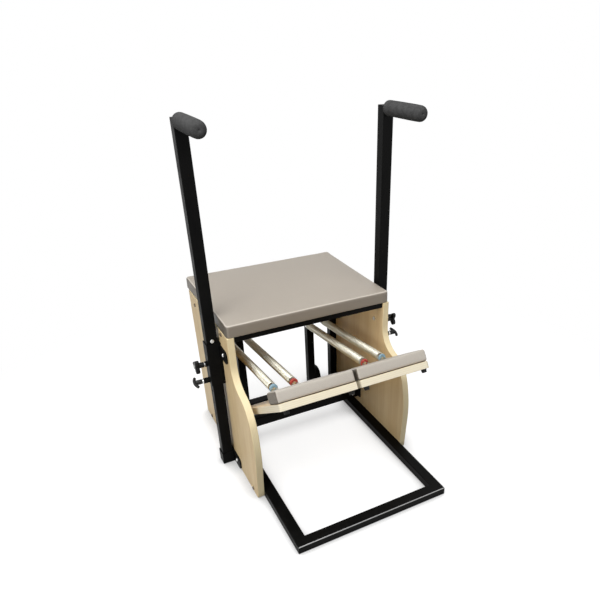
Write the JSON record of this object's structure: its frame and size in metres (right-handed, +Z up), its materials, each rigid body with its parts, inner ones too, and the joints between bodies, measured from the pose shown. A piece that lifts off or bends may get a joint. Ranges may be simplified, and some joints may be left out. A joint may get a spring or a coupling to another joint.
{
  "type": "pilates chair",
  "caption": "Pilates chair with plywood side panels, a padded seat, split sprung foot pedals, a black steel base frame and sliding handle posts with foam grips",
  "frame": {"origin": "on the floor, at the middle of the part's bounding box seen from above", "axes": "+Z up, -Y towards the front where the pedals are, +X to the viewer's right"},
  "size_m": [0.8494, 0.97, 1.256],
  "materials": {
    "vinyl": "soft satin vinyl",
    "plywood": "clear lacquer",
    "black_steel": "satin powder coat",
    "chrome": "polished",
    "steel": "zinc plated",
    "foam": "matt foam",
    "rubber": "matt",
    "black_plastic": "moulded",
    "red_plastic": "gloss",
    "blue_plastic": "gloss"
  },
  "bodies": {
    "frame": {"seat_pad": "vinyl", "seat_board": "plywood", "seat_front_rail": "black_steel", "seat_rear_rail": "black_steel", "seat_side_rails": "black_steel", "left_side_panel": "plywood", "right_side_panel": "plywood", "base_front_rail": "black_steel", "base_left_rail": "black_steel", "base_right_rail": "black_steel", "base_rear_rail": "black_steel", "rail_end_caps": "black_plastic", "hinge_bar": "black_steel", "hinge_lugs": "black_steel", "hinge_shaft": "steel", "spring_posts": "black_steel", "spring_pegs": "steel", "left_upper_bracket": "black_steel", "right_upper_bracket": "black_steel", "left_lower_bracket": "black_steel", "right_lower_bracket": "black_steel", "wheel_forks": "black_steel", "wheel_axles": "steel", "panel_bolts": "steel"},
    "left_handle": {"left_upright": "black_steel", "left_grip": "foam", "left_stop_bolt": "steel"},
    "left_knob": {"left_clamp_knob": "black_plastic", "left_clamp_stud": "steel"},
    "left_pull_pin": {"left_pull_handle": "black_plastic", "left_pull_plunger": "steel"},
    "left_pedal": {"left_pedal_board": "plywood", "left_pedal_pad": "vinyl", "left_hinge_knuckles": "black_steel", "left_spring_eyebolts": "steel", "left_pedal_bumpers": "rubber"},
    "left_spring_head": {"left_inner_spring": "chrome", "left_outer_spring": "chrome", "left_inner_spring_end": "red_plastic", "left_outer_spring_end": "blue_plastic"},
    "left_spring_tail": {"left_spring_tails": "steel"},
    "left_wheel": {"left_wheel": "black_plastic"},
    "right_handle": {"right_upright": "black_steel", "right_grip": "foam", "right_stop_bolt": "steel"},
    "right_knob": {"right_clamp_knob": "black_plastic", "right_clamp_stud": "steel"},
    "right_pull_pin": {"right_pull_handle": "black_plastic", "right_pull_plunger": "steel"},
    "right_pedal": {"right_pedal_board": "plywood", "right_pedal_pad": "vinyl", "right_hinge_knuckles": "black_steel", "right_spring_eyebolts": "steel", "right_pedal_bumpers": "rubber"},
    "right_spring_head": {"right_inner_spring": "chrome", "right_outer_spring": "chrome", "right_inner_spring_end": "red_plastic", "right_outer_spring_end": "blue_plastic"},
    "right_spring_tail": {"right_spring_tails": "steel"},
    "right_wheel": {"right_wheel": "black_plastic"}
  },
  "joints": [
    {"name": "left_pedal_press", "type": "hinge", "parent": "frame", "child": "left_pedal", "pos_m": [0, 0.165, 0.118], "axis": [1, 0, 0], "range_deg": [0, 41.2], "stiffness_Nm_per_rad": 150, "springref_deg": -17.19},
    {"name": "left_spring_swing", "type": "hinge", "parent": "left_pedal", "child": "left_spring_head", "pos_m": [0, -0.18711, 0.43213], "axis": [1, 0, 0], "range_deg": [-15, 0]},
    {"name": "left_spring_stretch", "type": "slide", "parent": "left_spring_head", "child": "left_spring_tail", "axis": [0, 0.9924, -0.1231], "range_m": [0, 0.172], "deforming": ["left_inner_spring", "left_outer_spring"]},
    {"name": "left_handle_height", "type": "slide", "parent": "frame", "child": "left_handle", "axis": [0, 0, 1], "range_m": [0, 0.2]},
    {"name": "left_knob_turn", "type": "hinge", "parent": "frame", "child": "left_knob", "pos_m": [-0.4, 0.082, 0.445], "axis": [-1, 0, 0], "range_deg": [0, 270]},
    {"name": "left_pin_pull", "type": "slide", "parent": "frame", "child": "left_pull_pin", "axis": [-1, 0, 0], "range_m": [0, 0.008], "stiffness_N_per_m": 800, "springref_m": -0.004},
    {"name": "left_wheel_roll", "type": "hinge", "parent": "frame", "child": "left_wheel", "pos_m": [-0.21, 0.441, 0.045], "axis": [1, 0, 0], "continuous": true},
    {"name": "right_pedal_press", "type": "hinge", "parent": "frame", "child": "right_pedal", "pos_m": [0, 0.165, 0.118], "axis": [1, 0, 0], "range_deg": [0, 41.2], "stiffness_Nm_per_rad": 150, "springref_deg": -17.19},
    {"name": "right_spring_swing", "type": "hinge", "parent": "right_pedal", "child": "right_spring_head", "pos_m": [0, -0.18711, 0.43213], "axis": [1, 0, 0], "range_deg": [-15, 0]},
    {"name": "right_spring_stretch", "type": "slide", "parent": "right_spring_head", "child": "right_spring_tail", "axis": [0, 0.9924, -0.1231], "range_m": [0, 0.172], "deforming": ["right_inner_spring", "right_outer_spring"]},
    {"name": "right_handle_height", "type": "slide", "parent": "frame", "child": "right_handle", "axis": [0, 0, 1], "range_m": [0, 0.2]},
    {"name": "right_knob_turn", "type": "hinge", "parent": "frame", "child": "right_knob", "pos_m": [0.4, 0.082, 0.445], "axis": [1, 0, 0], "range_deg": [0, 270]},
    {"name": "right_pin_pull", "type": "slide", "parent": "frame", "child": "right_pull_pin", "axis": [1, 0, 0], "range_m": [0, 0.008], "stiffness_N_per_m": 800, "springref_m": -0.004},
    {"name": "right_wheel_roll", "type": "hinge", "parent": "frame", "child": "right_wheel", "pos_m": [0.21, 0.441, 0.045], "axis": [1, 0, 0], "continuous": true}
  ],
  "couplings": [
    {"joint": "left_spring_swing", "follows": "left_pedal_press", "ratio": -0.36},
    {"joint": "left_spring_stretch", "follows": "left_pedal_press", "m_per_rad": 0.2365},
    {"joint": "right_spring_swing", "follows": "right_pedal_press", "ratio": -0.36},
    {"joint": "right_spring_stretch", "follows": "right_pedal_press", "m_per_rad": 0.2365}
  ]
}
